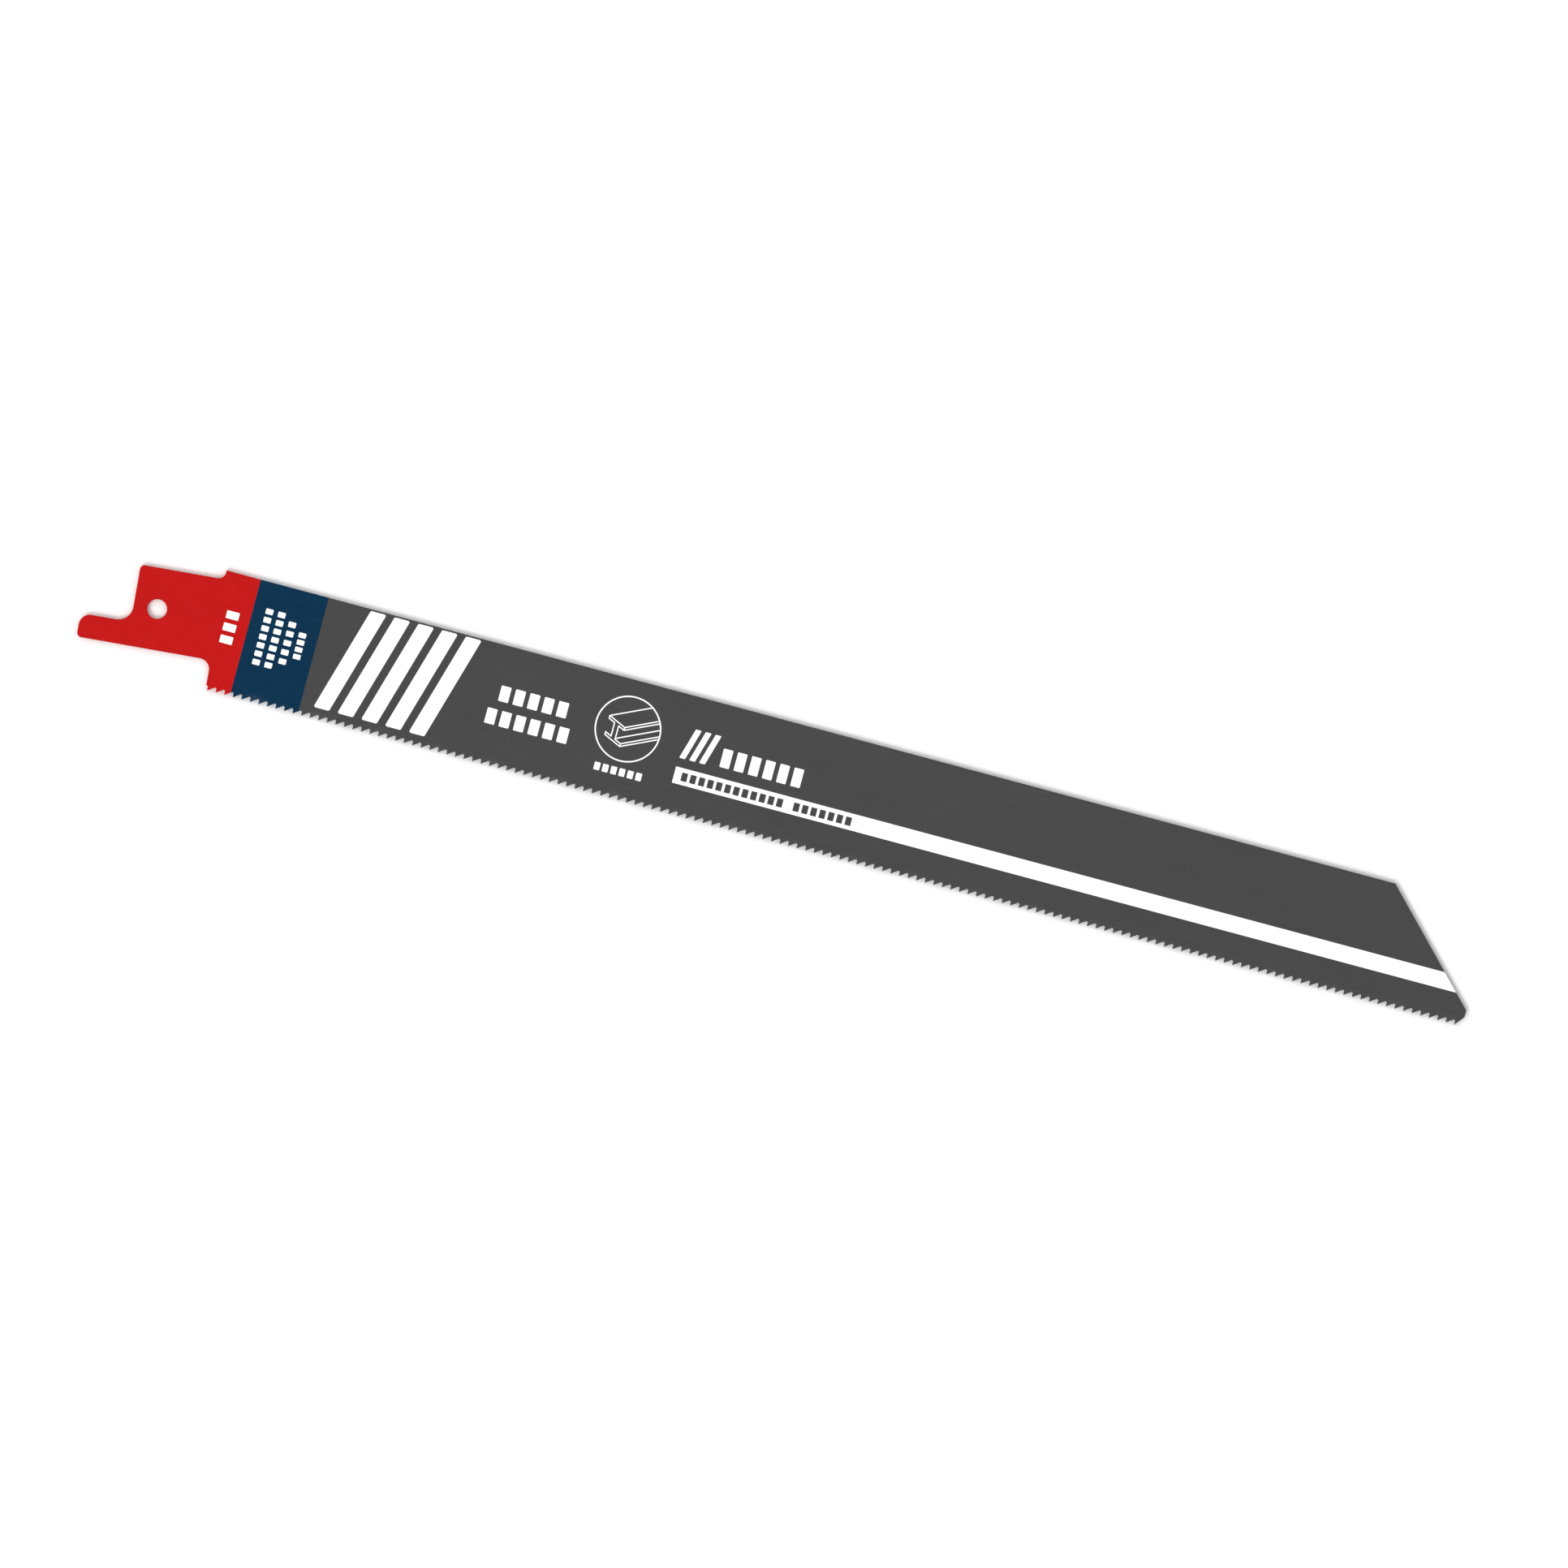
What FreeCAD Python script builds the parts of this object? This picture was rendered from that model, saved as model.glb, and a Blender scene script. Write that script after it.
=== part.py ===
import FreeCAD, Part
import math
import os
import Sketcher

# Reciprocating saw blade, in millimetres.  The shank hole's centre is the
# origin, on the plate's middle plane.  +X runs along the teeth to the slanted
# tip, +Y from the teeth to the back edge and Z through the thickness.

SIZES = [
    ("thickness", 0.9, "plate thickness"),
    ("blade_width", 19.2, "tooth tips to back edge"),
    ("reach", 216.6, "hole centre to the upright tip edge, along the teeth"),
    ("shank_angle", 5.0, "tilt of the shank against the back edge, degrees"),
    ("shank_width", 13.0, "shank, top to bottom edge, hole in the middle"),
    ("shank_front", 9.74, "hole centre to shoulder and heel, along the shank"),
    ("shank_rear", 3.78, "hole centre to the shank's rear edge"),
    ("nose_reach", 11.83, "hole centre to the end of the nose"),
    ("nose_width", 3.8, "width of the nose behind the shank"),
    ("hole_diameter", 3.1, "shank hole"),
    ("shoulder_step", 1.44, "rise from the shank's top edge to the back edge"),
    ("nose_upper_radius", 1.8, "upper corner of the nose"),
    ("nose_lower_radius", 0.75, "lower corner of the nose"),
    ("nose_root_radius", 2.35, "hollow corner between nose and shank"),
    ("rear_corner_radius", 0.7, "upper rear corner of the shank"),
    ("shoulder_radius", 1.15, "hollow corner below the shoulder"),
    ("heel_radius", 1.75, "hollow corner above the heel"),
    ("heel_ledge", 0.25, "heel line to the first tooth"),
    ("tip_angle", 45.8, "slope of the tip against the teeth, degrees"),
    ("tip_edge_top", 2.7, "top of the upright tip edge over the tooth line"),
    ("tip_edge_bottom", 1.56, "its lower end, where the tip is cropped"),
    ("tip_radius", 0.3, "corner between slope and upright tip edge"),
    ("tip_margin", 1.0, "least distance from the last tooth to the tip edge"),
    ("tooth_pitch", 1.4, "tooth to tooth, eighteen to the inch"),
    ("clearance_angle", 35.0, "rise of the tooth backs, degrees"),
    ("gullet_radius", 0.22, "round at the bottom of the gullets"),
    ("bend_height", 1.5, "line where the tooth band starts to bend"),
    ("set_offset", 0.2, "sideways shift of the most bent teeth"),
]

# Teeth in one full wave of the set: this many bend to one side and back.
WAVE_TEETH = 7


class Size:
    """A length known both as a number and as the formula that gives it."""

    def __init__(self, value, text):
        self.value = value
        self.text = text

    def join(self, other, sign, value):
        right = other.text if isinstance(other, Size) else repr(other)
        return Size(value, "(" + self.text + " " + sign + " " + right + ")")

    def __add__(self, other):
        return self.join(other, "+", self.value + number(other))

    def __sub__(self, other):
        return self.join(other, "-", self.value - number(other))

    def __mul__(self, other):
        return self.join(other, "*", self.value * number(other))

    def __truediv__(self, other):
        return self.join(other, "/", self.value / number(other))

    def __neg__(self):
        return Size(-self.value, "(0 - " + self.text + ")")


def number(item):
    """Value of a Size or of a plain number."""
    return item.value if isinstance(item, Size) else item


def size(alias):
    """One named size of the table."""
    value = [row[1] for row in SIZES if row[0] == alias][0]
    return Size(value, "<<sizes>>." + alias)


def sine(angle):
    return Size(math.sin(math.radians(angle.value)), "sin(" + angle.text + " * 1 deg)")


def cosine(angle):
    return Size(math.cos(math.radians(angle.value)), "cos(" + angle.text + " * 1 deg)")


def tangent(angle):
    return Size(math.tan(math.radians(angle.value)), "tan(" + angle.text + " * 1 deg)")


def whole(item):
    """Whole part of a length ratio."""
    return Size(math.floor(item.value + 1e-9), "floor(" + item.text + " + 0.000000001)")


def plane(body, role):
    return [part for part in body.Origin.OriginFeatures if part.Role == role][0]


def new_sketch(body, name, role):
    sketch = body.newObject("Sketcher::SketchObject", name)
    sketch.AttachmentSupport = [(plane(body, role), "")]
    sketch.MapMode = "FlatFace"
    return sketch


def bind(sketch, kind, places, item):
    """Add a driving dimension and tie it to the sheet."""
    index = sketch.addConstraint(Sketcher.Constraint(kind, *places, item.value))
    sketch.setExpression("Constraints[%d]" % index, item.text)


def tie_point(sketch, geometry, place, corner):
    bind(sketch, "DistanceX", (-1, 1, geometry, place), corner[0])
    bind(sketch, "DistanceY", (-1, 1, geometry, place), corner[1])


def rounding(before, here, after, radius):
    """Start, middle and end of the arc that rounds a corner."""
    to_before = (before - here).normalize()
    to_after = (after - here).normalize()
    half = to_before.getAngle(to_after) / 2
    bisector = (to_before + to_after).normalize()
    centre = here + bisector * (radius / math.sin(half))
    start = here + to_before * (radius / math.tan(half))
    end = here + to_after * (radius / math.tan(half))
    middle = centre - bisector * radius
    return start, middle, end


def draw(sketch, corners):
    """Closed profile through corners (x, y, radius or None), all tied."""
    points = [FreeCAD.Vector(x.value, y.value, 0) for x, y, radius in corners]
    count = len(points)
    leave = list(points)
    enter = list(points)
    arcs = {}
    for i in range(count):
        radius = corners[i][2]
        if radius is not None:
            start, middle, end = rounding(
                points[i - 1], points[i], points[(i + 1) % count], radius.value)
            enter[i] = start
            leave[i] = end
            arcs[i] = Part.Arc(start, middle, end)
    lines = []
    for i in range(count):
        segment = Part.LineSegment(leave[i], enter[(i + 1) % count])
        lines.append(sketch.addGeometry(segment))
    for i in range(count):
        last = lines[i - 1]
        next_line = lines[i]
        if i not in arcs:
            sketch.addConstraint(Sketcher.Constraint("Coincident", last, 2, next_line, 1))
            tie_point(sketch, next_line, 1, corners[i])
            continue
        arc = sketch.addGeometry(arcs[i])
        first_end = sketch.getPoint(arc, 1)
        first = 1 if first_end.distanceToPoint(enter[i]) < 1e-6 else 2
        corner = sketch.addGeometry(Part.Point(points[i]), True)
        sketch.addConstraint(Sketcher.Constraint("PointOnObject", corner, 1, last))
        sketch.addConstraint(Sketcher.Constraint("PointOnObject", corner, 1, next_line))
        sketch.addConstraint(Sketcher.Constraint("Tangent", last, 2, arc, first))
        sketch.addConstraint(Sketcher.Constraint("Tangent", arc, 3 - first, next_line, 1))
        bind(sketch, "Radius", (arc,), corners[i][2])
        tie_point(sketch, corner, 1, corners[i])


def tie(item, name, source):
    item.setExpression(name, source.text)


def cut_through(body, name, sketch, depth):
    """Pocket to both sides of the middle plane."""
    pocket = body.newObject("PartDesign::Pocket", name)
    pocket.Profile = sketch
    pocket.SideType = "Symmetric"
    tie(pocket, "Length", depth)
    return pocket


def repeat(body, name, feature, spacing, count):
    """Row of one feature along the teeth."""
    row = body.newObject("PartDesign::LinearPattern", name)
    body.Tip = row
    row.Originals = [feature]
    row.Direction = (plane(body, "X_Axis"), [""])
    row.Mode = "Spacing"
    tie(row, "Offset", spacing)
    tie(row, "Occurrences", count)
    return row


doc = FreeCAD.newDocument("saw_blade")
sheet = doc.addObject("Spreadsheet::Sheet", "sizes")
for line, (alias, value, note) in enumerate(SIZES, 1):
    sheet.set("A%d" % line, alias)
    sheet.set("B%d" % line, str(value))
    sheet.set("C%d" % line, note)
    sheet.setAlias("B%d" % line, alias)
doc.recompute()

# Lines that several profiles share.
tilt = size("shank_angle")
half_shank = size("shank_width") / 2
front = size("shank_front")
back_line = front * sine(tilt) + half_shank * cosine(tilt) + size("shoulder_step")
tooth_line = back_line - size("blade_width")
bend_line = tooth_line + size("bend_height")
tip_end = size("reach")
pitch = size("tooth_pitch")


def shank_point(along, across, radius=None):
    """Corner given in the tilted shank's own directions."""
    x = along * cosine(tilt) - across * sine(tilt)
    y = along * sine(tilt) + across * cosine(tilt)
    return (x, y, radius)


def front_point(height, radius=None):
    """Corner of the shoulder and heel line at a given height."""
    return (front / cosine(tilt) - height * tangent(tilt), height, radius)


first_tooth = front_point(tooth_line)[0] + size("heel_ledge")
row_steps = whole((tip_end - first_tooth - size("tip_margin")) / pitch)
last_tooth = first_tooth + row_steps * pitch
tooth_count = row_steps + 1
wave = pitch * WAVE_TEETH
wave_count = whole((tip_end - first_tooth) / wave) + 1

body = doc.addObject("PartDesign::Body", "blade")
body.Label = "blade"

# The flat plate: nose, tilted shank, shoulder, back edge and slanted tip.
# Its lower side stops at the line where the tooth band starts to bend, and
# the foot of the heel reaches down far enough for a gullet to round it.
nose_top = size("nose_width") - half_shank
slope_back = tip_end - (size("blade_width") - size("tip_edge_top")) / tangent(size("tip_angle"))
heel_foot = tooth_line + size("gullet_radius")
outline = new_sketch(body, "outline", "XY_Plane")
draw(outline, [
    shank_point(-size("nose_reach"), -half_shank, size("nose_lower_radius")),
    shank_point(front, -half_shank, size("heel_radius")),
    front_point(heel_foot),
    (first_tooth, heel_foot, None),
    (first_tooth, bend_line, None),
    (tip_end, bend_line, None),
    (tip_end, tooth_line + size("tip_edge_top"), size("tip_radius")),
    (slope_back, back_line, None),
    front_point(back_line),
    shank_point(front, half_shank, size("shoulder_radius")),
    shank_point(-size("shank_rear"), half_shank, size("rear_corner_radius")),
    shank_point(-size("shank_rear"), nose_top, size("nose_root_radius")),
    shank_point(-size("nose_reach"), nose_top, size("nose_upper_radius")),
])
doc.recompute()
plate = body.newObject("PartDesign::Pad", "plate")
plate.Profile = outline
plate.SideType = "Symmetric"
tie(plate, "Length", size("thickness"))
doc.recompute()

# One wave of the set.  Below the bend line the band leans to one side and
# then to the other, so that its lower edge runs in a wave.  The band is a
# little deeper than the teeth, which the gullets then leave pointed.
half_plate = size("thickness") / 2
blank_line = tooth_line - size("gullet_radius")
widest = size("set_offset") * (bend_line - blank_line) / size("bend_height")
sections = []
for step in range(WAVE_TEETH + 1):
    lean = widest * round(math.sin(2 * math.pi * step / WAVE_TEETH), 6)
    section = new_sketch(body, "set_section_%d" % step, "YZ_Plane")
    section.setExpression("AttachmentOffset.Base.z", (first_tooth + pitch * step).text)
    draw(section, [
        (bend_line, -half_plate, None),
        (bend_line, half_plate, None),
        (blank_line, half_plate + lean, None),
        (blank_line, lean - half_plate, None),
    ])
    sections.append(section)
doc.recompute()
bend = body.newObject("PartDesign::AdditiveLoft", "bent_band")
bend.Profile = sections[0]
bend.Sections = sections[1:]
bend.Ruled = True
doc.recompute()
repeat(body, "bent_band_row", bend, wave, wave_count)
doc.recompute()

# Cutting depth of everything that goes right through plate and set.
through = size("thickness") + size("set_offset") * 4

# The gullet in front of the first tooth, then one before each tooth.  Its
# back starts at the point of the tooth before it.
rise = tangent(size("clearance_angle"))
below = blank_line - size("gullet_radius")
gullet = new_sketch(body, "gullet", "XY_Plane")
draw(gullet, [
    (first_tooth - pitch - (tooth_line - below) / rise, below, None),
    (first_tooth, below, None),
    (first_tooth, tooth_line + pitch * rise, size("gullet_radius")),
])
doc.recompute()
gullet_cut = cut_through(body, "gullet_cut", gullet, through)
doc.recompute()
repeat(body, "gullet_row", gullet_cut, pitch, tooth_count)
doc.recompute()

# The crop from the upright tip edge down to the point of the last tooth.
crop_run = (tip_end - last_tooth) / size("tip_edge_bottom")
beyond = tip_end + wave
crop = new_sketch(body, "tip_crop", "XY_Plane")
draw(crop, [
    (last_tooth - (tooth_line - below) * crop_run, below, None),
    (beyond, below, None),
    (beyond, tooth_line + size("tip_edge_bottom"), None),
    (tip_end, tooth_line + size("tip_edge_bottom"), None),
])
doc.recompute()
cut_through(body, "tip_crop_cut", crop, through)
doc.recompute()

# The round hole of the shank.
hole = new_sketch(body, "shank_hole", "XY_Plane")
circle = Part.Circle(FreeCAD.Vector(0, 0, 0), FreeCAD.Vector(0, 0, 1), size("hole_diameter").value / 2)
hole.addGeometry(circle)
hole.addConstraint(Sketcher.Constraint("Coincident", 0, 3, -1, 1))
bind(hole, "Diameter", (0,), size("hole_diameter"))
doc.recompute()
cut_through(body, "shank_hole_cut", hole, through)
doc.recompute()

for item in doc.Objects:
    if "Invalid" in item.State or "Error" in item.State:
        raise RuntimeError("not built: " + item.Name)
shape = body.Shape
if shape.isNull() or not shape.isValid() or len(shape.Solids) != 1:
    raise RuntimeError("the blade is not one valid solid")

os.makedirs("parts", exist_ok=True)
shape.exportStep("parts/blade.step")
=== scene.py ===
"""Reciprocating saw blade: lacquered steel, toothed edge, print and a plain studio.

All sizes are in millimetres in the blade's own frame: the shank hole's centre
is the origin, +X runs along the teeth to the tip and +Y to the back edge.
Meshes are written in metres.
"""

import logging
import math
from dataclasses import dataclass, field
from enum import Enum
from typing import Any, Sequence

import bmesh
import bpy
from bpy.types import Material, Node, NodeSocket as Socket, NodeTree, Object
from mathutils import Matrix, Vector
from mathutils.geometry import delaunay_2d_cdt

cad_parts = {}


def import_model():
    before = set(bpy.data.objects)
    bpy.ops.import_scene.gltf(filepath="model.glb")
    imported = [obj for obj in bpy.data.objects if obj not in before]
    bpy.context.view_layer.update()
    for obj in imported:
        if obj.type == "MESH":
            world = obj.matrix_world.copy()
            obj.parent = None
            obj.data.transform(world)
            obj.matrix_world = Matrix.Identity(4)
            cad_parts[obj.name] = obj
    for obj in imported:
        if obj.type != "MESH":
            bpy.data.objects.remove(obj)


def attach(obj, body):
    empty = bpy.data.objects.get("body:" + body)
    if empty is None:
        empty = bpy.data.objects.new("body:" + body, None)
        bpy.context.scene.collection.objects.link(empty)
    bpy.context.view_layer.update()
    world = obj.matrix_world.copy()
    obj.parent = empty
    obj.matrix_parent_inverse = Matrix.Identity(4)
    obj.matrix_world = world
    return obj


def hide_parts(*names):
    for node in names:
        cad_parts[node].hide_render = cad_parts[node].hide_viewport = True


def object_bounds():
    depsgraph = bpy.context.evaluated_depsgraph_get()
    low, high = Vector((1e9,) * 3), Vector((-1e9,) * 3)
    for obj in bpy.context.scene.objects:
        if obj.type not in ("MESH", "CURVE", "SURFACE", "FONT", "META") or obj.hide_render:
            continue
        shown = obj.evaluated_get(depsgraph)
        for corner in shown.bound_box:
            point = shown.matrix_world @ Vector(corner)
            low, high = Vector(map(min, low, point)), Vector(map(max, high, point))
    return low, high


LOG = logging.getLogger("saw_blade")
BODY = "root"

# One millimetre in Blender's metres.
MM = 0.001
# Points nearer than this, in the unit of their mesh or drawing, are one.
WELD = 1e-6
# How near a corner, in metres, a cut runs through it.
CUT_SLACK = 1e-8
# Slack of a division that may come out whole.
WHOLE_SLACK = 1e-9
# Sockets of a Mix node for colours.
MIX_FIRST, MIX_SECOND, MIX_RESULT = 6, 7, 2

Pair = tuple[float, float]
Triple = tuple[float, float, float]
Point = Pair
Corner = Triple
Colour = Triple
Rgba = tuple[float, float, float, float]


class PaintField(Enum):
    """The three fields of lacquer; the value is the place in the mesh's materials."""

    BODY_GREY = 0
    SHANK_RED = 1
    BAND_BLUE = 2


class Slot(Enum):
    """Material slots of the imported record."""

    LACQUER = "blade_lacquer"
    PRINT = "white_print"


def shade(colour: Colour, factor: float = 1.0) -> Rgba:
    """Turn a display colour into a shader colour, by the usual display curve.

    Args:
        colour: red, green and blue as displayed, 0 to 255.
        factor: what the linear colour is multiplied by.

    Returns:
        The linear colour with full alpha.
    """
    parts = []
    for channel in colour:
        level = channel / 255.0
        part = level / 12.92 if level <= 0.04045 else ((level + 0.055) / 1.055) ** 2.4
        parts.append(part * factor)
    return (parts[0], parts[1], parts[2], 1.0)


class Wiring:
    """Adds and joins the nodes of one tree."""

    def __init__(self, tree: NodeTree) -> None:
        """Keep the node tree to build in."""
        self.tree = tree

    def add(self, kind: str, **settings: Any) -> Node:
        """Add a node.

        Args:
            kind: the node's type name.
            **settings: properties to set on it.

        Returns:
            The new node.
        """
        node = self.tree.nodes.new(kind)
        for name, value in settings.items():
            setattr(node, name, value)
        return node

    def put(self, socket: Socket, value: Any) -> None:
        """Join a socket to another one, or give it a number.

        Args:
            socket: the input.
            value: an output socket or a plain value.
        """
        if isinstance(value, Socket):
            self.tree.links.new(value, socket)
        else:
            socket.default_value = value

    def feed(self, node: Node, **inputs: Any) -> None:
        """Fill named inputs of a node.

        Args:
            node: the node.
            **inputs: input names, with _ for a space, and their values.
        """
        for name, value in inputs.items():
            self.put(node.inputs[name.replace("_", " ")], value)

    def maths(self, operation: str, first: Any, second: Any = 0.0) -> Socket:
        """Add one sum.

        Args:
            operation: the sum's name, such as MULTIPLY.
            first: a socket or a number.
            second: a socket or a number.

        Returns:
            The result's socket.
        """
        node = self.add("ShaderNodeMath", operation=operation)
        self.put(node.inputs[0], first)
        self.put(node.inputs[1], second)
        return node.outputs[0]

    def weighted(self, start: float, *terms: tuple[Socket, float]) -> Socket:
        """Add up sockets, each with its own weight.

        Args:
            start: what the sum starts from.
            *terms: pairs of socket and weight.

        Returns:
            The sum's socket.
        """
        total: Any = start
        for socket, weight in terms:
            total = self.maths("ADD", total, self.maths("MULTIPLY", socket, weight))
        return total


def hang_tree(holder: Object, tree: NodeTree, values: dict[str, Any]) -> None:
    """Hang a Geometry Nodes tree on an object and fill the tree's named inputs.

    Args:
        holder: the object that carries it.
        tree: the tree.
        values: input names and values.
    """
    modifier = holder.modifiers.new(tree.name, "NODES")
    modifier.node_group = tree
    for item in tree.interface.items_tree:
        if item.item_type == "SOCKET" and item.in_out == "INPUT" and item.name in values:
            modifier[item.identifier] = values[item.name]


def new_tree(name: str, inputs: Sequence[tuple[str, str]]) -> tuple[Wiring, Node, Node]:
    """Start a Geometry Nodes tree.

    Args:
        name: the tree's name.
        inputs: pairs of input name and socket kind.

    Returns:
        The wiring, the group's input node and its output node.
    """
    tree = bpy.data.node_groups.new(name, "GeometryNodeTree")
    tree.interface.new_socket(name="Geometry", in_out="INPUT", socket_type="NodeSocketGeometry")
    for title, kind in inputs:
        tree.interface.new_socket(name=title, in_out="INPUT", socket_type="NodeSocket" + kind)
    tree.interface.new_socket(name="Geometry", in_out="OUTPUT", socket_type="NodeSocketGeometry")
    wiring = Wiring(tree)
    return wiring, wiring.add("NodeGroupInput"), wiring.add("NodeGroupOutput")


def row_of(wiring: Wiring, cell: Socket, count: Socket, start: Any, step: Socket) -> Socket:
    """Repeat a cell along a line and make the copies real.

    Args:
        wiring: the tree's wiring.
        cell: socket of the geometry to repeat.
        count: socket with the number of copies.
        start: the first place, as a socket or a vector.
        step: socket with the way from one copy to the next.

    Returns:
        Socket of the realised row.
    """
    line = wiring.add("GeometryNodeMeshLine", mode="OFFSET", count_mode="TOTAL")
    wiring.feed(line, Count=count, Start_Location=start, Offset=step)
    copies = wiring.add("GeometryNodeInstanceOnPoints")
    wiring.feed(copies, Points=line.outputs[0], Instance=cell)
    real = wiring.add("GeometryNodeRealizeInstances")
    wiring.feed(real, Geometry=copies.outputs[0])
    return real.outputs[0]


def welded(wiring: Wiring, first: Socket, second: Socket) -> Socket:
    """Join two geometries and weld the points that they share.

    Args:
        wiring: the tree's wiring.
        first: socket of one geometry.
        second: socket of the other.

    Returns:
        Socket of the welded geometry.
    """
    both = wiring.add("GeometryNodeJoinGeometry")
    wiring.feed(both, Geometry=first)
    wiring.feed(both, Geometry=second)
    weld = wiring.add("GeometryNodeMergeByDistance")
    wiring.feed(weld, Geometry=both.outputs[0], Distance=WELD)
    return weld.outputs[0]


def thickened(wiring: Wiring, sheet: Socket, thickness: Socket) -> Socket:
    """Turn a flat sheet into a closed plate.

    Args:
        wiring: the tree's wiring.
        sheet: socket of the flat faces, which look up.
        thickness: socket of the plate's thickness.

    Returns:
        Socket of the plate.
    """
    rise = wiring.add("ShaderNodeCombineXYZ")
    wiring.feed(rise, Z=thickness)
    upper = wiring.add("GeometryNodeExtrudeMesh", mode="FACES")
    wiring.feed(upper, Mesh=sheet, Offset=rise.outputs[0], Individual=False)
    lower = wiring.add("GeometryNodeFlipFaces")
    wiring.feed(lower, Mesh=sheet)
    return welded(wiring, upper.outputs["Mesh"], lower.outputs[0])


def wave_shift(wiring: Wiring, given: Any) -> Socket:
    """Work out how far each point moves, to lean the tooth band in a wave.

    It also brings the plate down by half its thickness, to the middle plane.

    Args:
        wiring: the tree's wiring.
        given: the tree's inputs by name.

    Returns:
        Socket of the way that a point moves.
    """
    place = wiring.add("GeometryNodeInputPosition")
    axes = wiring.add("ShaderNodeSeparateXYZ")
    wiring.feed(axes, Vector=place.outputs[0])

    past_start = wiring.maths("SUBTRACT", axes.outputs["X"], given["Wave Start"])
    along = wiring.maths("MAXIMUM", past_start, 0.0)
    turns = wiring.maths("DIVIDE", along, given["Wave Length"])
    phase = wiring.maths("MULTIPLY", turns, 2 * math.pi)
    wave = wiring.maths("MULTIPLY", wiring.maths("SINE", phase), given["Set Offset"])

    under_bend = wiring.maths("SUBTRACT", given["Bend Top"], axes.outputs["Y"])
    below = wiring.maths("MAXIMUM", under_bend, 0.0)
    share = wiring.maths("DIVIDE", below, given["Bend Depth"])
    depth = wiring.maths("POWER", share, given["Bend Power"])

    lean = wiring.maths("MULTIPLY", wave, depth)
    half_down = wiring.maths("MULTIPLY", given["Thickness"], -0.5)
    shift = wiring.add("ShaderNodeCombineXYZ")
    wiring.feed(shift, Z=wiring.maths("ADD", lean, half_down))
    return shift.outputs[0]


def toothed_plate_tree() -> NodeTree:
    """Tree that makes the whole blade from one flat tooth and the flat plate.

    It repeats the tooth along the edge, joins the row to the plate, gives both
    their thickness and leans the band below the bend line in a wave.

    Returns:
        The tree, with named inputs for every size.
    """
    wiring, given, result = new_tree("toothed_plate", [
        ("Plate", "Object"), ("Teeth", "Int"), ("Start", "Vector"), ("Step", "Vector"),
        ("Thickness", "Float"), ("Bend Top", "Float"), ("Bend Depth", "Float"),
        ("Bend Power", "Float"), ("Set Offset", "Float"), ("Wave Start", "Float"),
        ("Wave Length", "Float"), ("Material", "Material"),
    ])
    out = given.outputs
    teeth = row_of(wiring, out["Geometry"], out["Teeth"], out["Start"], out["Step"])
    plate = wiring.add("GeometryNodeObjectInfo")
    wiring.feed(plate, Object=out["Plate"])
    sheet = welded(wiring, teeth, plate.outputs["Geometry"])
    closed = thickened(wiring, sheet, out["Thickness"])
    bent = wiring.add("GeometryNodeSetPosition")
    wiring.feed(bent, Geometry=closed, Offset=wave_shift(wiring, out))
    painted = wiring.add("GeometryNodeSetMaterial")
    wiring.feed(painted, Geometry=bent.outputs[0], Material=out["Material"])
    wiring.feed(result, Geometry=painted.outputs[0])
    return wiring.tree


def print_row_tree() -> NodeTree:
    """Tree that repeats one printed mark in a row.

    Returns:
        The tree, with named inputs Count, Step and Material.
    """
    wiring, given, result = new_tree(
        "print_row", [("Count", "Int"), ("Step", "Vector"), ("Material", "Material")])
    out = given.outputs
    row = row_of(wiring, out["Geometry"], out["Count"], (0.0, 0.0, 0.0), out["Step"])
    inked = wiring.add("GeometryNodeSetMaterial")
    wiring.feed(inked, Geometry=row, Material=out["Material"])
    wiring.feed(result, Geometry=inked.outputs[0])
    return wiring.tree


def arc(centre: Point, radius: float, start: float, turn: float, steps: int) -> list[Point]:
    """Points of an arc, ends included.

    Args:
        centre: its centre.
        radius: its radius.
        start: the angle it starts from.
        turn: the angle it turns through, anticlockwise.
        steps: straight steps in it.

    Returns:
        The points in order.
    """
    angles = [start + turn * step / steps for step in range(steps + 1)]
    return [(centre[0] + radius * math.cos(a), centre[1] + radius * math.sin(a)) for a in angles]


def rounded(corners: Sequence[Corner], steps: int) -> list[Point]:
    """Round the corners of a closed outline.

    Args:
        corners: x, y and radius of each corner; a radius of 0 stays sharp.
        steps: straight steps in each rounding.

    Returns:
        The outline's points, in the same order.
    """
    points: list[Point] = []
    for i, (x, y, radius) in enumerate(corners):
        here = Vector((x, y))
        if radius <= 0:
            points.append((x, y))
            continue
        before = Vector(corners[i - 1][:2]) - here
        after = Vector(corners[(i + 1) % len(corners)][:2]) - here
        before.normalize()
        after.normalize()
        half = before.angle(after) / 2
        centre = here + (before + after).normalized() * (radius / math.sin(half))
        first = here + before * (radius / math.tan(half)) - centre
        last = here + after * (radius / math.tan(half)) - centre
        turn = math.atan2(first.x * last.y - first.y * last.x, first.dot(last))
        points += arc((centre.x, centre.y), radius, math.atan2(first.y, first.x), turn, steps)
    return points


def link(name: str, data: Any) -> Object:
    """Put a mesh, a lamp or a camera into the scene, at the origin.

    Args:
        name: the object's name.
        data: what it holds.

    Returns:
        The new object.
    """
    made = bpy.data.objects.new(name, data)
    bpy.context.scene.collection.objects.link(made)
    return made


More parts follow.
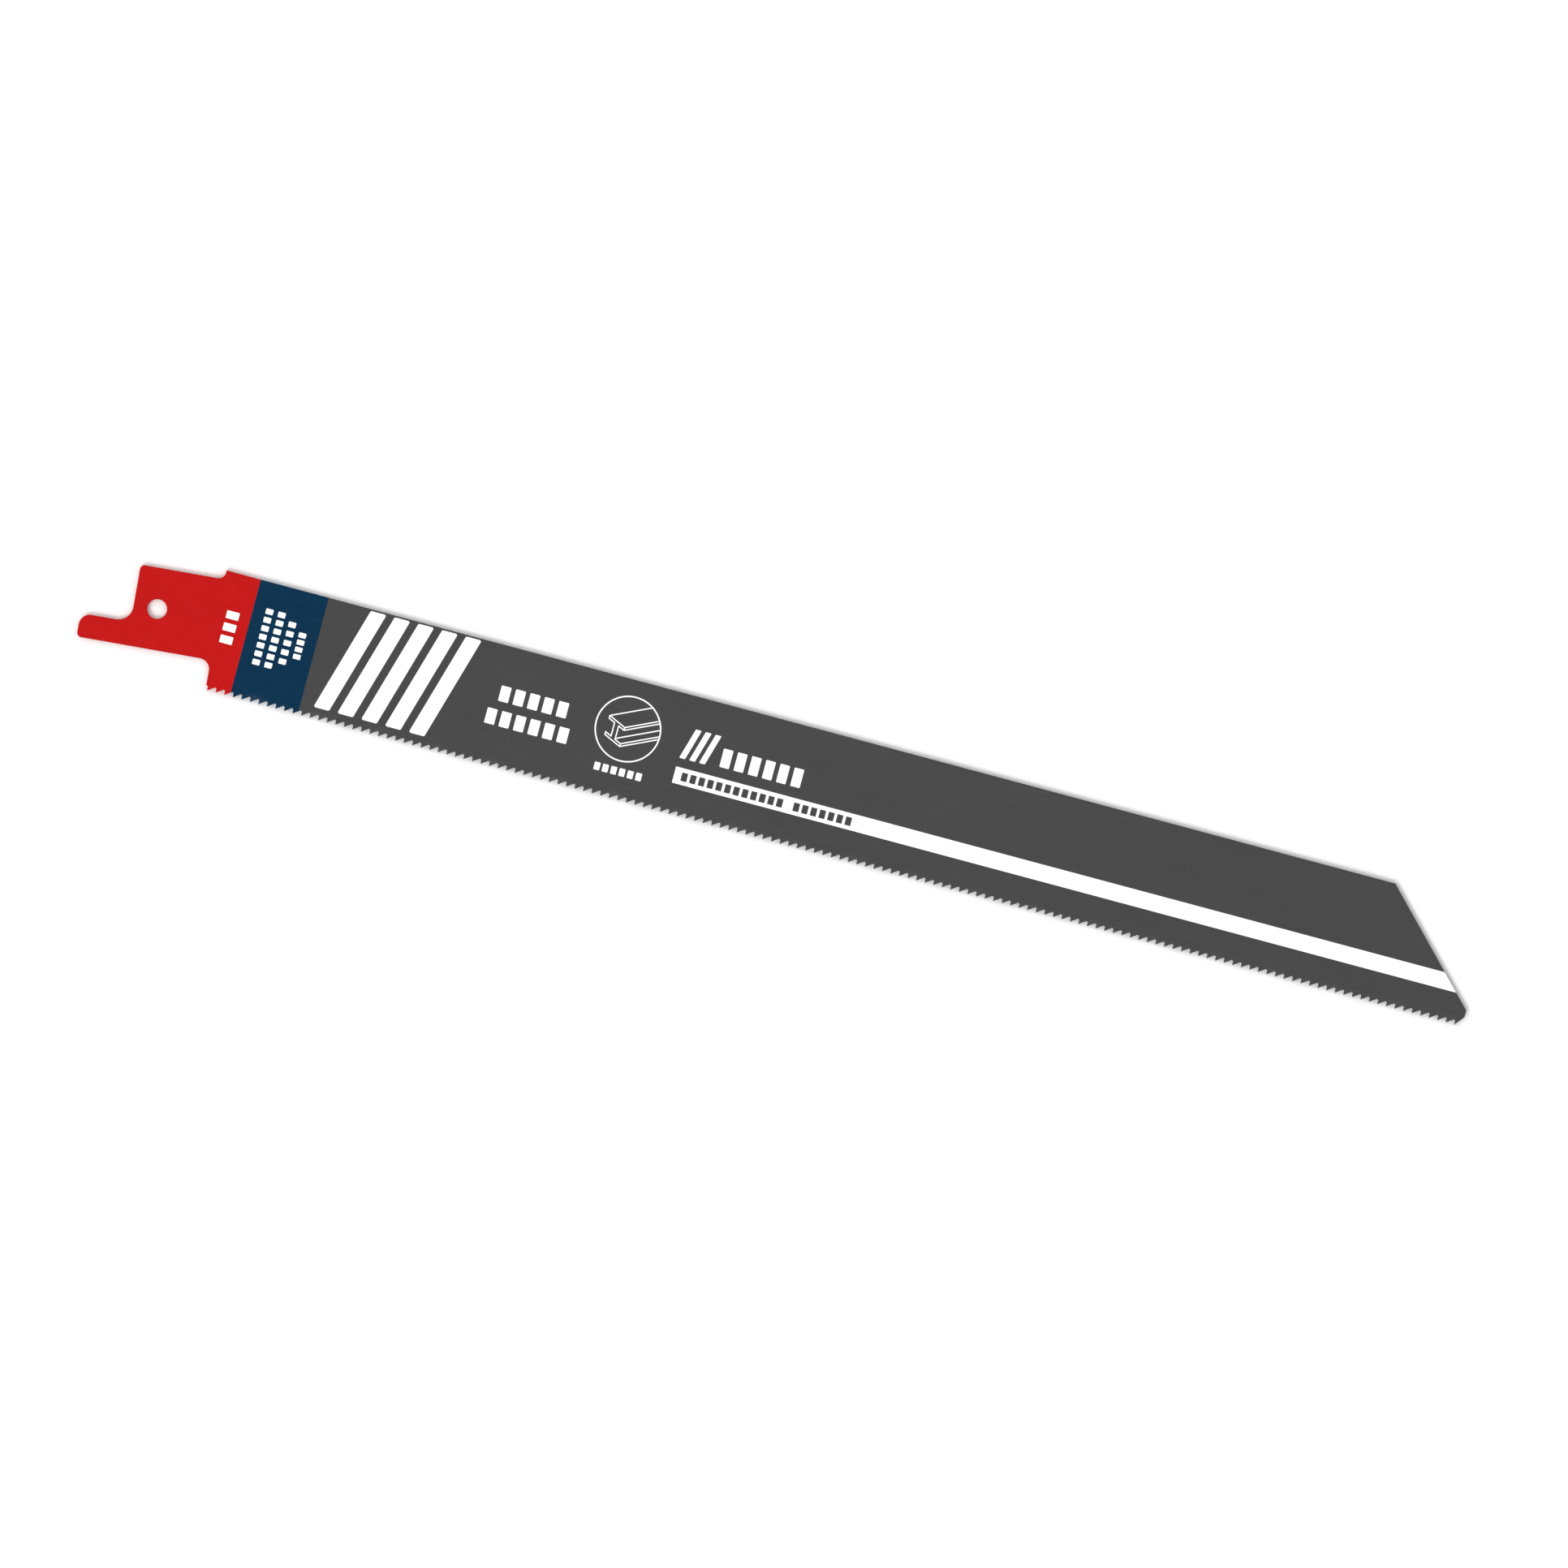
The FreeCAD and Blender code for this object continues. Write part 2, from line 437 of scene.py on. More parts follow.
def mesh_object(
        name: str, points: Sequence[Sequence[float]], faces: Sequence[Sequence[int]],
        material: Material) -> Object:
    """Make an object from points in millimetres.

    Args:
        name: the object's name.
        points: corner points; a missing third number is 0.
        faces: corner numbers of each face.
        material: the finish it starts with.

    Returns:
        The linked object, at the origin.
    """
    mesh = bpy.data.meshes.new(name)
    places = [tuple(c * MM for c in p) + (0.0,) * (3 - len(p)) for p in points]
    mesh.from_pydata(places, [], [tuple(f) for f in faces])
    mesh.validate()
    mesh.materials.append(material)
    return link(name, mesh)


def settle(holder: Object, name: str) -> Object:
    """Turn an object with its modifiers into one plain mesh.

    Args:
        holder: the object that carries the modifiers; it is removed.
        name: the new object's name.

    Returns:
        The new object.
    """
    graph = bpy.context.evaluated_depsgraph_get()
    graph.update()
    mesh = bpy.data.meshes.new_from_object(holder.evaluated_get(graph), depsgraph=graph)
    mesh.name = name
    bpy.data.objects.remove(holder, do_unlink=True)
    return link(name, mesh)


def within(point: Point, outline: Sequence[Point]) -> bool:
    """Tell whether a point lies inside a closed outline.

    Args:
        point: the point.
        outline: the outline's points.

    Returns:
        True inside.
    """
    inside = False
    x, y = point
    for i, (x1, y1) in enumerate(outline):
        x0, y0 = outline[i - 1]
        if (y0 > y) != (y1 > y) and x < (x1 - x0) * (y - y0) / (y1 - y0) + x0:
            inside = not inside
    return inside


def merged(
        inked: Sequence[Sequence[Point]], cleared: Sequence[Sequence[Point]] = (),
) -> tuple[list[Point], list[list[int]]]:
    """Unite overlapping outlines and take others out of them.

    Args:
        inked: outlines that are printed.
        cleared: outlines that stay bare.

    Returns:
        Points and triangles of the printed area.
    """
    corners: list[Vector] = []
    loops: list[list[int]] = []
    for outline in list(inked) + list(cleared):
        loops.append(list(range(len(corners), len(corners) + len(outline))))
        corners.extend(Vector(p) for p in outline)
    points, _, faces, _, _, _ = delaunay_2d_cdt(corners, [], loops, 0, WELD)
    kept = []
    for face in faces:
        middle = sum((points[i] for i in face), Vector((0.0, 0.0))) / len(face)
        spot = (middle.x, middle.y)
        if any(within(spot, o) for o in inked) and not any(within(spot, o) for o in cleared):
            kept.append(list(face))
    return [(p.x, p.y) for p in points], kept


@dataclass(frozen=True)
class Pattern:
    """A noise pattern: its repeats to the metre along each axis, and its depth."""

    scale: Triple
    detail: float
    roughness: float = 0.5


class Surface(Wiring):
    """A new material: its wiring, its shader and the piece's own coordinates."""

    def __init__(self, name: str) -> None:
        """Start the material.

        Args:
            name: the material's name.
        """
        self.material = bpy.data.materials.new(name)
        self.material.use_nodes = True
        super().__init__(self.material.node_tree)
        self.shader = self.tree.nodes["Principled BSDF"]
        self.place = self.add("ShaderNodeTexCoord").outputs["Object"]

    def noise(self, pattern: Pattern) -> Socket:
        """Add a noise pattern.

        Args:
            pattern: its scale and depth.

        Returns:
            The pattern's socket, 0 to 1.
        """
        mapping = self.add("ShaderNodeMapping")
        self.feed(mapping, Vector=self.place, Scale=pattern.scale)
        texture = self.add("ShaderNodeTexNoise")
        self.feed(texture, Vector=mapping.outputs[0], Scale=1.0,
                  Detail=pattern.detail, Roughness=pattern.roughness)
        return texture.outputs["Fac"]

    def blend(self, share: Socket, first: Any, second: Any) -> Socket:
        """Mix two colours.

        Args:
            share: socket with the second colour's share.
            first: a colour or its socket.
            second: a colour or its socket.

        Returns:
            The mixed colour's socket.
        """
        node = self.add("ShaderNodeMix", data_type="RGBA")
        self.feed(node, Factor=share)
        self.put(node.inputs[MIX_FIRST], first)
        self.put(node.inputs[MIX_SECOND], second)
        return node.outputs[MIX_RESULT]

    def mottled(self, share: Socket, colour: Colour, tones: Pair) -> Socket:
        """Vary a displayed colour between a darker and a lighter tone, by a socket."""
        return self.blend(share, shade(colour, tones[0]), shade(colour, tones[1]))

    def bump(self, strength: float, distance: float, height: Socket) -> None:
        """Give the surface its fine relief.

        Args:
            strength: how much of it shows.
            distance: its depth in metres.
            height: socket of the relief.
        """
        node = self.add("ShaderNodeBump")
        self.feed(node, Strength=strength, Distance=distance, Height=height)
        self.feed(self.shader, Normal=node.outputs[0])


@dataclass(frozen=True)
class Lacquer:
    """Semi-gloss stoving lacquer over rolled steel, thin along sharp rims."""

    name: str
    colour: Colour
    steel: Colour = (196, 196, 198)
    tones: Pair = (0.84, 1.16)
    cloud: Pattern = Pattern((90.0, 160.0, 160.0), 3.0, 0.55)
    grain: Pattern = Pattern((220.0, 6000.0, 2600.0), 3.0, 0.55)
    hair: Pattern = Pattern((60.0, 14000.0, 4000.0), 1.0, 0.55)
    peel: Pattern = Pattern((2600.0,) * 3, 1.5, 0.55)
    speck: Pattern = Pattern((9000.0,) * 3, 1.0, 0.55)
    cloud_share: float = 0.5
    grain_share: float = 0.5
    hair_limit: float = 0.66
    hair_strength: float = 0.35
    speck_limit: float = 0.78
    wear: float = 0.5
    least_roughness: float = 0.12
    roughness_spread: float = 0.12
    peel_height: float = 0.6
    grain_height: float = 0.8
    bump_strength: float = 0.45
    bump_distance: float = 0.00003
    refraction: float = 1.48
    specular: float = 0.25

    def make(self) -> Material:
        """Build the material.

        Returns:
            The finished material.
        """
        surface = Surface(self.name)
        grain = surface.noise(self.grain)
        peel = surface.noise(self.peel)
        bare = self.bare_share(surface, grain)
        colour = surface.blend(bare, self.body_colour(surface, grain), shade(self.steel))
        spread = self.roughness_spread
        roughness = surface.weighted(self.least_roughness, (peel, spread), (grain, spread))
        surface.feed(surface.shader, Base_Color=colour, Metallic=bare, Roughness=roughness,
                     IOR=self.refraction, Specular_IOR_Level=self.specular)
        height = surface.weighted(0.0, (peel, self.peel_height), (grain, self.grain_height))
        surface.bump(self.bump_strength, self.bump_distance, height)
        return surface.material

    def body_colour(self, surface: Surface, grain: Socket) -> Socket:
        """Colour of the lacquer, uneven along the rolled grain.

        Args:
            surface: the material that is built.
            grain: socket of the rolled grain.

        Returns:
            The colour's socket.
        """
        cloud = surface.noise(self.cloud)
        hair = surface.maths("GREATER_THAN", surface.noise(self.hair), self.hair_limit)
        lines = surface.weighted(0.0, (cloud, self.cloud_share), (grain, self.grain_share),
                                 (hair, self.hair_strength))
        return surface.mottled(surface.maths("MINIMUM", lines, 1.0), self.colour, self.tones)

    def bare_share(self, surface: Surface, grain: Socket) -> Socket:
        """Where the steel shows: in specks along the rounded rims.

        Args:
            surface: the material that is built.
            grain: socket of the rolled grain.

        Returns:
            The share of bare steel, 0 to 1.
        """
        rim = surface.add("ShaderNodeAttribute", attribute_name="edge_wear").outputs["Fac"]
        patch = surface.weighted(0.0, (surface.noise(self.speck), 1.0), (grain, self.grain_share))
        broken = surface.maths("GREATER_THAN", patch, self.speck_limit)
        return surface.maths("MULTIPLY", surface.maths("MULTIPLY", rim, broken), self.wear)


@dataclass(frozen=True)
class PlainFinish:
    """A finish of one mottled colour, with a fine woven relief or without one."""

    name: str
    colour: Colour
    tones: Pair
    mottle: Pattern
    roughness: float
    specular: float = 0.5
    weave: Pattern | None = None
    roughness_spread: float = 0.12
    bump_strength: float = 0.3
    bump_distance: float = 0.00001

    def make(self) -> Material:
        """Build the material.

        Returns:
            The finished material.
        """
        surface = Surface(self.name)
        colour = surface.mottled(surface.noise(self.mottle), self.colour, self.tones)
        roughness: Any = self.roughness
        if self.weave:
            weave = surface.noise(self.weave)
            roughness = surface.weighted(self.roughness, (weave, self.roughness_spread))
            surface.bump(self.bump_strength, self.bump_distance, weave)
        surface.feed(surface.shader, Base_Color=colour, Roughness=roughness,
                     Specular_IOR_Level=self.specular)
        return surface.material


@dataclass
class SawBlade:
    """The steel blade: plate, tilted shank, slanted tip and wavy-set teeth."""

    thickness: float = 0.9
    width: float = 19.2
    reach: float = 216.6
    shank_angle: float = 5.0
    shank_width: float = 13.0
    shank_front: float = 9.74
    shank_rear: float = 3.78
    nose_reach: float = 11.83
    nose_width: float = 3.8
    hole_diameter: float = 3.1
    shoulder_step: float = 1.44
    nose_upper_radius: float = 1.8
    nose_lower_radius: float = 0.75
    nose_root_radius: float = 2.35
    rear_corner_radius: float = 0.7
    shoulder_radius: float = 1.15
    heel_radius: float = 1.75
    heel_ledge: float = 0.25
    heel_foot: float = 0.75
    tip_angle: float = 45.8
    tip_edge_top: float = 2.7
    tip_edge_bottom: float = 1.56
    tip_radius: float = 0.3
    tip_margin: float = 1.0
    pitch: float = 1.4
    clearance_angle: float = 35.0
    gullet_radius: float = 0.22
    bend_top: float = 1.8
    bend_middle: float = 1.1
    bend_power: float = 1.3
    set_offset: float = 0.2
    wave_teeth: int = 7
    corner_steps: int = 10
    gullet_steps: int = 6
    hole_steps: int = 24
    shortest_edge: float = 0.01
    rim_round: float = 0.035
    rim_segments: int = 2
    crease_angle: float = 30.0
    normal_weight: int = 90
    # Upright share of the normal: of the wall and the flat at a rim, and of worn faces.
    rim_slants: Pair = (0.4, 0.9)
    worn_slants: Pair = (0.2, 0.97)
    tooth_wear: float = 1.0
    rim_wear: float = 0.5
    red_ends: float = 14.65
    blue_ends: float = 25.8
    paints: dict[PaintField, Lacquer] = field(default_factory=lambda: {
        PaintField.BODY_GREY: Lacquer("grey_lacquer", (70, 69, 69)),
        PaintField.SHANK_RED: Lacquer("red_lacquer", (189, 17, 17)),
        PaintField.BAND_BLUE: Lacquer("blue_lacquer", (0, 46, 74)),
    })

    @property
    def back_line(self) -> float:
        """Height of the back edge."""
        tilt = math.radians(self.shank_angle)
        shank_top = self.shank_front * math.sin(tilt) + self.shank_width / 2 * math.cos(tilt)
        return shank_top + self.shoulder_step

    @property
    def tooth_line(self) -> float:
        """Height of the tooth points."""
        return self.back_line - self.width

    @property
    def bend_line(self) -> float:
        """Height where the tooth band starts to lean."""
        return self.tooth_line + self.bend_top

    @property
    def first_tooth(self) -> float:
        """Front of the first tooth."""
        return self.front_line(self.tooth_line) + self.heel_ledge

    @property
    def steps(self) -> int:
        """Number of steps from the first tooth to the last."""
        row = self.reach - self.first_tooth - self.tip_margin
        return int(row / self.pitch + WHOLE_SLACK)

    @property
    def rear_point(self) -> float:
        """Where the shank's rear edge passes the hole's middle."""
        return -self.shank_rear / math.cos(math.radians(self.shank_angle))

    @property
    def top(self) -> float:
        """Height of the printed face."""
        return self.thickness / 2

    def front_line(self, height: float) -> float:
        """Place of the shoulder and heel line along the blade, at a height over the hole."""
        tilt = math.radians(self.shank_angle)
        return self.shank_front / math.cos(tilt) - height * math.tan(tilt)

    def slope(self, height: float) -> float:
        """Place of the slanted tip edge along the blade, at a height over the hole."""
        rise = height - self.tooth_line - self.tip_edge_top
        return self.reach - rise / math.tan(math.radians(self.tip_angle))

    def shank_corner(self, along: float, across: float, radius: float) -> Corner:
        """Turn a corner from the tilted shank's directions.

        Args:
            along: distance from the hole along the shank.
            across: distance from the hole across it.
            radius: the corner's rounding.

        Returns:
            The corner in the blade's frame.
        """
        tilt = math.radians(self.shank_angle)
        x = along * math.cos(tilt) - across * math.sin(tilt)
        y = along * math.sin(tilt) + across * math.cos(tilt)
        return (x, y, radius)

    def gullet_arc(self) -> list[Point]:
        """Round of one gullet, from the tooth's back to the next front.

        Returns:
            Points from a tooth's own corner, which is at 0, 0.
        """
        rise = math.radians(self.clearance_angle)
        reach = self.gullet_radius / math.tan((math.pi / 2 - rise) / 2)
        centre = (self.pitch - self.gullet_radius, self.pitch * math.tan(rise) - reach)
        turn = math.pi / 2 + rise
        return arc(centre, self.gullet_radius, turn, -turn, self.gullet_steps)

    def hole_arc(self) -> list[Point]:
        """Lower half of the shank hole, from its front round to its rear."""
        return arc((0.0, 0.0), self.hole_diameter / 2, 0.0, -math.pi, self.hole_steps)

    def flat_tooth(self, material: Material) -> Object:
        """One flat tooth with the band above it, front corner at 0, 0.

        Args:
            material: its lacquer.

        Returns:
            The object, in one plane.
        """
        gullet = self.gullet_arc()
        top, middle, end = self.bend_top, self.bend_middle, self.pitch
        tooth = [(0, 0), *gullet, (end, middle), (end / 2, middle), (0, middle), (0, gullet[-1][1])]
        band = [(end, top), (end / 2, top), (0, top)]
        # First corners of the band's foot and of its top; both run from right to left.
        low, up = len(gullet) + 1, len(tooth)
        faces = [list(range(up)), [low + 2, low + 1, up + 1, up + 2], [low + 1, low, up, up + 1]]
        return mesh_object("flat_tooth", tooth + band, faces, material)

    def lower_outline(self) -> list[Point]:
        """Plate below the hole's middle: nose, heel, bend line and tip.

        Returns:
            The outline's points.
        """
        half = self.shank_width / 2
        nose = self.nose_width - half
        first, bend = self.first_tooth, self.bend_line
        return rounded([
            (self.rear_point, 0, 0),
            self.shank_corner(-self.shank_rear, nose, self.nose_root_radius),
            self.shank_corner(-self.nose_reach, nose, self.nose_upper_radius),
            self.shank_corner(-self.nose_reach, -half, self.nose_lower_radius),
            self.shank_corner(self.shank_front, -half, self.heel_radius),
            (self.front_line(bend), bend, 0),
            *((first + i * self.pitch / 2, bend, 0) for i in range(2 * self.steps + 1)),
            (self.reach, bend, 0),
            (self.reach, self.tooth_line + self.tip_edge_top, self.tip_radius),
            (self.slope(0), 0, 0),
            *((x, y, 0) for x, y in self.hole_arc()),
        ], self.corner_steps)

    def upper_outline(self) -> list[Point]:
        """Plate above the hole's middle: shank, shoulder and back edge.

        Returns:
            The outline's points.
        """
        half = self.shank_width / 2
        back = self.back_line
        return rounded([
            (self.rear_point, 0, 0),
            *((x, -y, 0) for x, y in reversed(self.hole_arc())),
            (self.slope(0), 0, 0),
            (self.slope(back), back, 0),
            (self.front_line(back), back, 0),
            self.shank_corner(self.shank_front, half, self.shoulder_radius),
            self.shank_corner(-self.shank_rear, half, self.rear_corner_radius),
        ], self.corner_steps)

    def heel_outline(self) -> list[Point]:
        """Foot of the heel, with the gullet in front of the first tooth.

        Returns:
            The outline's points.
        """
        line, bend, first = self.tooth_line, self.bend_line, self.first_tooth
        foot = self.front_line(line + self.heel_foot)
        whole = [(first - self.pitch + x, line + y) for x, y in self.gullet_arc()]
        gullet = [(x, y) for x, y in whole if x > foot + self.shortest_edge]
        return [(foot, line + self.heel_foot), *gullet, (first, line + self.bend_middle),
                (first, bend), (self.front_line(bend), bend)]

    def tip_outline(self) -> list[Point]:
        """Lower corner of the tip, from the last tooth to the upright edge.

        Returns:
            The outline's points.
        """
        line, bend = self.tooth_line, self.bend_line
        last = self.first_tooth + self.steps * self.pitch
        gullet_top = self.gullet_arc()[-1][1]
        return [(last, bend), (last, line + self.bend_middle), (last, line + gullet_top),
                (last, line), (self.reach, line + self.tip_edge_bottom), (self.reach, bend)]

    def flat_plate(self, material: Material) -> Object:
        """The flat plate without its teeth, as four faces.

        Args:
            material: its lacquer.

        Returns:
            The object, in one plane.
        """
        points: list[Point] = []
        faces = []
        for outline in (self.lower_outline(), self.upper_outline(),
                        self.heel_outline(), self.tip_outline()):
            faces.append(list(range(len(points), len(points) + len(outline))))
            points.extend(outline)
        return mesh_object("flat_plate", points, faces, material)

    def build(self) -> Object:
        """Make the whole blade as one closed mesh, grey all over.

        Returns:
            The blade.
        """
        grey = self.paints[PaintField.BODY_GREY].make()
        tooth = self.flat_tooth(grey)
        plate = self.flat_plate(grey)
        hang_tree(tooth, toothed_plate_tree(), {
            "Plate": plate,
            "Teeth": self.steps,
            "Start": (self.first_tooth * MM, self.tooth_line * MM, 0.0),
            "Step": (self.pitch * MM, 0.0, 0.0),
            "Thickness": self.thickness * MM,
            "Bend Top": self.bend_line * MM,
            "Bend Depth": self.bend_top * MM,
            "Bend Power": self.bend_power,
            "Set Offset": self.set_offset * MM,
            "Wave Start": self.first_tooth * MM,
            "Wave Length": self.wave_teeth * self.pitch * MM,
            "Material": grey,
        })
        rough = settle(tooth, "blade_rough")
        bpy.data.objects.remove(plate, do_unlink=True)
        self.split_fields(rough)
        soften = rough.modifiers.new("rim_round", "BEVEL")
        soften.width = self.rim_round * MM
        soften.segments = self.rim_segments
        soften.limit_method = "WEIGHT"
        soften.use_clamp_overlap = False
        even = rough.modifiers.new("even_normals", "WEIGHTED_NORMAL")
        even.mode = "FACE_AREA"
        even.weight = self.normal_weight
        even.keep_sharp = True
        return settle(rough, "blade_steel")

    def split_fields(self, rough: Object) -> None:
        """Cut edges where the colours meet and mark the rims to round.

        Args:
            rough: the blade before its rounding; its mesh is changed.
        """
        work = bmesh.new()
        work.from_mesh(rough.data)
        for border in (self.red_ends, self.blue_ends):
            everything = list(work.verts) + list(work.edges) + list(work.faces)
            bmesh.ops.bisect_plane(
                work, geom=everything, dist=CUT_SLACK,
                plane_co=(border * MM, 0, 0), plane_no=(1, 0, 0))
        weights = work.edges.layers.float.new("bevel_weight_edge")
        wall_most, flat_least = self.rim_slants
        for edge in work.edges:
            if len(edge.link_faces) != 2:
                continue
            wall, flat = sorted(abs(face.normal.z) for face in edge.link_faces)
            if wall < wall_most and flat > flat_least:
                edge[weights] = 1.0
            if edge.calc_face_angle() > math.radians(self.crease_angle):
                edge.smooth = False
        for face in work.faces:
            face.smooth = True
        work.to_mesh(rough.data)
        work.free()

    def dress(self, blade: Object) -> None:
        """Give each face its lacquer and mark the rounded rims for wear.

        Args:
            blade: the finished mesh, which carries the grey lacquer already.
        """
        mesh = blade.data
        for paint in (PaintField.SHANK_RED, PaintField.BAND_BLUE):
            mesh.materials.append(self.paints[paint].make())
        worn = mesh.attributes.new("edge_wear", "FLOAT", "FACE")
        toothed = (self.tooth_line + self.bend_middle) * MM
        least, most = self.worn_slants
        for face in mesh.polygons:
            face.material_index = self.field_at(face.center.x / MM).value
            if least < abs(face.normal.z) < most:
                wear = self.tooth_wear if face.center.y < toothed else self.rim_wear
                worn.data[face.index].value = wear

    def field_at(self, along: float) -> PaintField:
        """Field of lacquer at a place along the blade, in millimetres."""
        past_red = PaintField.BAND_BLUE if along < self.blue_ends else PaintField.BODY_GREY
        return PaintField.SHANK_RED if along < self.red_ends else past_red


@dataclass
class InkLayer:
    """White print on the upper face, a little proud of the lacquer."""

    face: float
    over: float = 0.018
    under: float = 0.012
    corner_steps: int = 3
    ink: PlainFinish = PlainFinish(
        "white_ink", (253, 253, 252), (0.94, 1.02), Pattern((1500.0,) * 3, 3.0), 0.5,
        weave=Pattern((9000.0,) * 3, 1.0))
    material: Material = field(init=False)
    row_tree: NodeTree = field(init=False)

    def __post_init__(self) -> None:
        """Make the ink and the tree that the rows share."""
        self.material = self.ink.make()
        self.row_tree = print_row_tree()

    def block(self, place: Point, size: Pair, corner: float, lean: float = 0.0) -> list[Point]:
        """Outline of a block with rounded corners, upright or leaning.

        Args:
            place: its lower left corner.
            size: its width and height.
            corner: its corners' radius.
            lean: how far its top is shifted to the right.

        Returns:
            The outline's points.
        """
        (x, y), (wide, high) = place, size
        corners = ((x, y), (x + wide, y), (x + wide + lean, y + high), (x + lean, y + high))
        return rounded([(*spot, corner) for spot in corners], self.corner_steps)

    def raised(
            self, name: str, points: Sequence[Point], faces: Sequence[Sequence[int]]) -> Object:
        """Give flat print its thickness, closed all round.

        Args:
            name: the object's name.
            points: flat points in millimetres.
            faces: faces that turn anticlockwise.

        Returns:
            The closed object.
        """
        low, high = self.face - self.under, self.face + self.over
        made = mesh_object(name, [(x, y, low) for x, y in points], faces, self.material)
        work = bmesh.new()
        work.from_mesh(made.data)
        top = bmesh.ops.extrude_face_region(work, geom=list(work.faces), use_keep_orig=True)
        moved = [item for item in top["geom"] if isinstance(item, bmesh.types.BMVert)]
        bmesh.ops.translate(work, verts=moved, vec=(0.0, 0.0, (high - low) * MM))
        bmesh.ops.recalc_face_normals(work, faces=work.faces)
        work.to_mesh(made.data)
        work.free()
        return made


@dataclass(frozen=True)
class PrintedRow:
    """A row of like marks, upright or slanted, placed from the print's origin."""

    name: str
    place: Point
    mark: Pair
    step: Pair
    count: int
    slant: float = 0.0
    corner: float = 0.12

    def build(self, layer: InkLayer, origin: Point) -> Object:
        """Make the row.

        Args:
            layer: the layer it is printed in.
            origin: the print's origin in the blade's frame.

        Returns:
            The row as one mesh.
        """
        place = (self.place[0] + origin[0], self.place[1] + origin[1])
        lean = self.mark[1] * math.tan(math.radians(self.slant))
        outline = layer.block(place, self.mark, self.corner, lean)
        mark = layer.raised(self.name + "_mark", outline, [range(len(outline))])
        hang_tree(mark, layer.row_tree, {
            "Count": self.count,
            "Step": (self.step[0] * MM, self.step[1] * MM, 0.0),
            "Material": layer.material,
        })
        return settle(mark, self.name)


@dataclass(frozen=True)
class Pictogram:
    """A ring around a steel beam drawn in plain lines."""

    centre: Point = (76.9, 0.93)
    radius: float = 5.18
    ring_line: float = 0.23
    beam_line: float = 0.19
    ring_steps: int = 72
    rise: float = 25.0
    overlap: float = 0.6

    def build(self, layer: InkLayer) -> Object:
        """Make the ring and the beam as one merged print.

        Args:
            layer: the layer it is printed in.

        Returns:
            The print as one mesh.
        """
        strokes = [self.band(a, b, self.ring_line) for a, b in self.ring()]
        strokes += [self.band(a, b, self.beam_line) for a, b in self.beam()]
        points, faces = merged(strokes)
        return layer.raised("beam_pictogram", points, faces)

    def ring(self) -> list[tuple[Point, Point]]:
        """Short strokes of the ring, as pairs of end points."""
        spots = arc(self.centre, self.radius, 0.0, 2 * math.pi, self.ring_steps)
        return list(zip(spots[:-1], spots[1:]))

    def beam(self) -> list[tuple[Point, Point]]:
        """Strokes of an upright beam section and its edges running back.

        Returns:
            Pairs of end points, ending on the ring.
        """
        section = [
            (-3.3, 1.35), (-0.55, 0.1), (-0.55, -0.35), (-1.55, 0.1), (-1.55, -2.1), (-0.55, -2.55),
            (-0.55, -3.0), (-3.3, -1.75), (-3.3, -1.3), (-2.3, -1.75), (-2.3, 0.45), (-3.3, 0.9)]
        web_foot = (-1.55, -1.95)
        strokes = [(section[i - 1], section[i]) for i in range(len(section))]
        for corner in (*section[:3], *section[5:7], web_foot):
            strokes.append((corner, self.far_end(corner)))
        x, y = self.centre
        return [((a[0] + x, a[1] + y), (b[0] + x, b[1] + y)) for a, b in strokes]

    def far_end(self, start: Point) -> Point:
        """Where a receding edge meets the ring.

        Args:
            start: the edge's near end, from the ring's centre.

        Returns:
            The far end, from the ring's centre.
        """
        angle = math.radians(self.rise)
        way = Vector((math.cos(angle), math.sin(angle)))
        near = Vector(start)
        along = near.dot(way)
        length = -along + math.sqrt(along * along - near.length_squared + self.radius ** 2)
        end = near + way * length
        return (end.x, end.y)

    def band(self, start: Point, end: Point, line: float) -> list[Point]:
        """One stroke with a little overlap at both ends.

        Args:
            start: its first end.
            end: its last end.
            line: its width.

        Returns:
            The stroke's outline.
        """
        first, last = Vector(start), Vector(end)
        way = (last - first).normalized() * (line / 2)
        side = Vector((-way.y, way.x))
        first, last = first - way * self.overlap, last + way * self.overlap
        return [(p.x, p.y) for p in (first - side, last - side, last + side, first + side)]


@dataclass(frozen=True)
class LongStripe:
    """The stripe that runs to the slanted tip, with blocks left bare in it."""

    start: float = 85.8
    low: float = -5.436
    high: float = -2.786
    edge_gap: float = 0.05
    bare_low: float = -4.82
    bare_size: Pair = (0.98, 1.37)
    bare_step: float = 1.42
    bare_corner: float = 0.1
    bare_rows: Sequence[tuple[float, int]] = ((87.0, 12), (105.35, 7))

    def build(self, layer: InkLayer, blade: SawBlade) -> Object:
        """Make the stripe, cut along the slanted tip.

        Args:
            layer: the layer it is printed in.
            blade: the blade that it runs along.

        Returns:
            The stripe as one mesh.
        """
        gap = self.edge_gap
        outline = [(self.start, self.low), (blade.slope(self.low) - gap, self.low),
                   (blade.slope(self.high) - gap, self.high), (self.start, self.high)]
        bare = []
        for first, count in self.bare_rows:
            for i in range(count):
                place = (first + i * self.bare_step, self.bare_low)
                bare.append(layer.block(place, self.bare_size, self.bare_corner))
        points, faces = merged([outline], bare)
        return layer.raised("long_stripe", points, faces)


